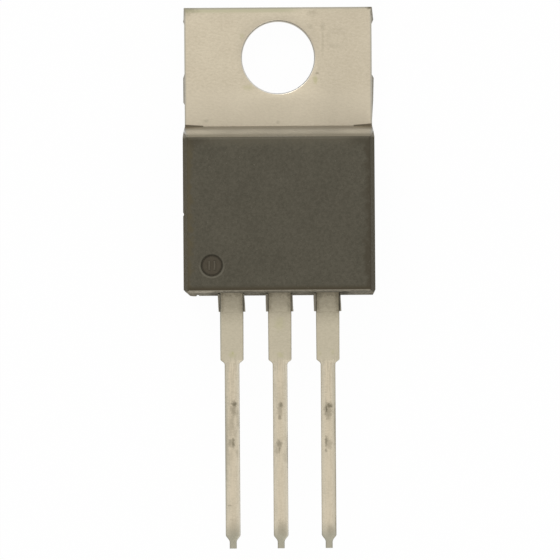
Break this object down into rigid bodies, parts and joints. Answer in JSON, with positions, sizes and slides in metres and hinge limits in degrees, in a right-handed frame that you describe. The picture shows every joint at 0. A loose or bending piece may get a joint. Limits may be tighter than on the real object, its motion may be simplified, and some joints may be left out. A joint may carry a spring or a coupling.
{
  "type": "voltage regulator",
  "caption": "Linear voltage regulator: a dark moulded block with a metal fixing tab and three flat leads in a row.",
  "frame": {"origin": "axis of the tab's fixing hole on the mounting face, which is the flat back of the tab", "axes": "+Z out of the front of the moulding, +Y towards the top edge of the tab, leads along -Y, +X to the right seen from the front"},
  "size_m": [0.0102, 0.0286, 0.0045],
  "materials": {
    "moulding_epoxy": "fine matt, dark warm grey",
    "tinned_copper": "matt tin plating",
    "silicon": "polished, blue-grey",
    "solder": "satin grey",
    "aluminium_wire": "bright drawn"
  },
  "bodies": {
    "root": {"moulded_body": "moulding_epoxy", "tab_with_centre_lead": "tinned_copper", "input_lead": "tinned_copper", "output_lead": "tinned_copper", "regulator_die": "silicon", "die_solder": "solder", "input_bond_wire": "aluminium_wire", "output_bond_wire": "aluminium_wire", "sense_bond_wire": "aluminium_wire", "ground_bond_wire": "aluminium_wire"}
  },
  "joints": []
}
